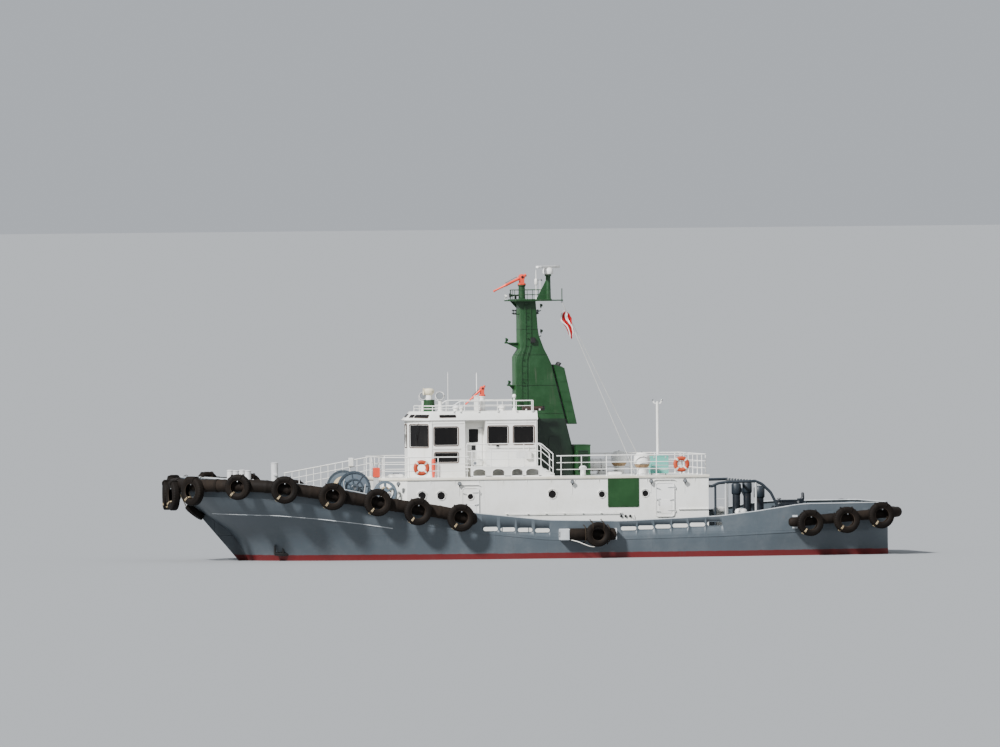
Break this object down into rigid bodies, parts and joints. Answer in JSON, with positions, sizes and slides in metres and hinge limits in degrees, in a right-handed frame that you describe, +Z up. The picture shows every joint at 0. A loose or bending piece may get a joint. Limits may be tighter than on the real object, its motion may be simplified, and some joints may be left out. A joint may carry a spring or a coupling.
{
  "type": "harbour tugboat, twin steerable drives, afloat",
  "caption": "Whole harbour tug: raked hull with fender tyres, deckhouse, wheelhouse, green mast, towing gear and steerable nozzle drives.",
  "frame": {"origin": "on the waterline, on the centreline, at the middle of the steel hull's length", "axes": "+X towards the bow, +Y to port, +Z up"},
  "size_m": [33.1332, 10.86, 17],
  "materials": {
    "hull_paint": "satin blue-grey hull paint",
    "white_paint": "gloss off-white superstructure paint",
    "green_paint": "satin green mast paint",
    "fender_rubber": "matt weathered black rubber",
    "machinery_paint": "satin grey-blue machinery paint",
    "lifebuoy_foam": "matt orange-red foam ring",
    "monitor_red": "gloss red paint",
    "locker_teal": "satin teal paint",
    "deck_gear_navy": "satin dark navy paint",
    "bollard_grey": "satin light silvery-grey paint",
    "window_glass": "dark tinted glass",
    "propeller_bronze": "dull bronze",
    "flag_cloth": "woven bunting, red and white",
    "floor_covering": "matt grey covering"
  },
  "bodies": {
    "tug": {"hull": "hull_paint", "skeg": "hull_paint", "bulwark_port": "hull_paint", "bulwark_starboard": "hull_paint", "tow_arch": "hull_paint", "bow_fender": "fender_rubber", "side_fender_port": "fender_rubber", "side_fender_starboard": "fender_rubber", "stern_fender": "fender_rubber", "winch_frame": "machinery_paint", "deckhouse": "white_paint", "boat_deck": "white_paint", "boat_deck_rail_fore": "white_paint", "boat_deck_rail_aft": "white_paint", "wheelhouse": "white_paint", "bridge_roof": "white_paint", "bridge_wing_port": "white_paint", "bridge_wing_starboard": "white_paint", "halyards": "white_paint", "engine_casing": "green_paint", "mast": "green_paint", "funnel": "green_paint", "mast_platform": "green_paint", "lifebuoy_fore_port": "lifebuoy_foam", "lifebuoy_aft_port": "lifebuoy_foam", "lifebuoy_aft_starboard": "lifebuoy_foam", "deck_locker": "locker_teal", "bridge_glass": "window_glass", "bridge_floor": "floor_covering", "anchor_port": "deck_gear_navy", "anchor_starboard": "deck_gear_navy", "towing_foundation": "deck_gear_navy", "fore_bitts_port": "bollard_grey", "fore_bitts_starboard": "bollard_grey", "stern_bitts_port": "bollard_grey", "stern_bitts_starboard": "bollard_grey", "bow_tow_post": "bollard_grey", "flag": "flag_cloth"},
    "drive_port": {"drive_port": "machinery_paint"},
    "propeller_port": {"propeller_port": "propeller_bronze"},
    "house_door_fore_port": {"house_door_fore_port": "white_paint"},
    "house_door_aft_port": {"house_door_aft_port": "white_paint"},
    "bridge_door_port": {"bridge_door_port": "white_paint"},
    "drive_starboard": {"drive_starboard": "machinery_paint"},
    "propeller_starboard": {"propeller_starboard": "propeller_bronze"},
    "house_door_fore_starboard": {"house_door_fore_starboard": "white_paint"},
    "house_door_aft_starboard": {"house_door_aft_starboard": "white_paint"},
    "bridge_door_starboard": {"bridge_door_starboard": "white_paint"},
    "winch_drum": {"winch_drum": "machinery_paint"},
    "rope_reel": {"rope_reel": "machinery_paint"},
    "radar_scanner": {"radar_scanner": "white_paint"},
    "monitor_mast_swivel": {"monitor_mast_swivel": "monitor_red"},
    "monitor_mast_barrel": {"monitor_mast_barrel": "monitor_red"},
    "monitor_roof_swivel": {"monitor_roof_swivel": "monitor_red"},
    "monitor_roof_barrel": {"monitor_roof_barrel": "monitor_red"},
    "searchlight_port": {"searchlight_port": "white_paint"},
    "searchlight_starboard": {"searchlight_starboard": "white_paint"},
    "tow_hook": {"tow_hook": "deck_gear_navy"}
  },
  "joints": [
    {"name": "drive_port_steer", "type": "hinge", "parent": "tug", "child": "drive_port", "pos_m": [-12.4, 1.9, -1.64], "axis": [0, 0, 1], "continuous": true},
    {"name": "propeller_port_spin", "type": "hinge", "parent": "drive_port", "child": "propeller_port", "pos_m": [-12.83, 1.9, -2.8], "axis": [1, 0, 0], "continuous": true},
    {"name": "house_door_fore_port_swing", "type": "hinge", "parent": "tug", "child": "house_door_fore_port", "pos_m": [2.845, 3.445, 2.5], "axis": [0, 0, 1], "range_deg": [0, 100]},
    {"name": "house_door_aft_port_swing", "type": "hinge", "parent": "tug", "child": "house_door_aft_port", "pos_m": [-6.095, 3.445, 2.5], "axis": [0, 0, 1], "range_deg": [0, 100]},
    {"name": "bridge_door_port_swing", "type": "hinge", "parent": "tug", "child": "bridge_door_port", "pos_m": [2.365, 1.395, 5.1], "axis": [0, 0, 1], "range_deg": [0, 90]},
    {"name": "drive_starboard_steer", "type": "hinge", "parent": "tug", "child": "drive_starboard", "pos_m": [-12.4, -1.9, -1.64], "axis": [0, 0, 1], "continuous": true},
    {"name": "propeller_starboard_spin", "type": "hinge", "parent": "drive_starboard", "child": "propeller_starboard", "pos_m": [-12.83, -1.9, -2.8], "axis": [1, 0, 0], "continuous": true},
    {"name": "house_door_fore_starboard_swing", "type": "hinge", "parent": "tug", "child": "house_door_fore_starboard", "pos_m": [2.845, -3.445, 2.5], "axis": [0, 0, -1], "range_deg": [0, 100]},
    {"name": "house_door_aft_starboard_swing", "type": "hinge", "parent": "tug", "child": "house_door_aft_starboard", "pos_m": [-6.095, -3.445, 2.5], "axis": [0, 0, -1], "range_deg": [0, 100]},
    {"name": "bridge_door_starboard_swing", "type": "hinge", "parent": "tug", "child": "bridge_door_starboard", "pos_m": [2.365, -1.395, 5.1], "axis": [0, 0, -1], "range_deg": [0, 90]},
    {"name": "winch_drum_turn", "type": "hinge", "parent": "tug", "child": "winch_drum", "pos_m": [8.27, 0, 3.23], "axis": [0, 1, 0], "continuous": true},
    {"name": "rope_reel_turn", "type": "hinge", "parent": "tug", "child": "rope_reel", "pos_m": [7.15, 3.06, 3.06], "axis": [0, 1, 0], "continuous": true},
    {"name": "radar_scanner_turn", "type": "hinge", "parent": "tug", "child": "radar_scanner", "pos_m": [-0.96, 0, 12.76], "axis": [0, 0, 1], "continuous": true},
    {"name": "monitor_mast_yaw", "type": "hinge", "parent": "tug", "child": "monitor_mast_swivel", "pos_m": [0.25, 0, 12.3], "axis": [0, 0, 1], "range_deg": [-100, 100]},
    {"name": "monitor_mast_pitch", "type": "hinge", "parent": "monitor_mast_swivel", "child": "monitor_mast_barrel", "pos_m": [0.25, 0, 12.65], "axis": [0, -1, 0], "range_deg": [0, 95]},
    {"name": "monitor_roof_yaw", "type": "hinge", "parent": "tug", "child": "monitor_roof_swivel", "pos_m": [2.2, 0.5, 7.3], "axis": [0, 0, 1], "range_deg": [-120, 120]},
    {"name": "monitor_roof_pitch", "type": "hinge", "parent": "monitor_roof_swivel", "child": "monitor_roof_barrel", "pos_m": [2.2, 0.5, 7.64], "axis": [0, -1, 0], "range_deg": [0, 110]},
    {"name": "searchlight_port_pan", "type": "hinge", "parent": "tug", "child": "searchlight_port", "pos_m": [4.13, 0.5, 7.06], "axis": [0, 0, 1], "range_deg": [-170, 170]},
    {"name": "searchlight_starboard_pan", "type": "hinge", "parent": "tug", "child": "searchlight_starboard", "pos_m": [4.7, -0.6, 7.06], "axis": [0, 0, 1], "range_deg": [-170, 170]},
    {"name": "tow_hook_swing", "type": "hinge", "parent": "tug", "child": "tow_hook", "pos_m": [-11.5, 0, 2.18], "axis": [0, 0, 1], "range_deg": [-80, 80]}
  ]
}
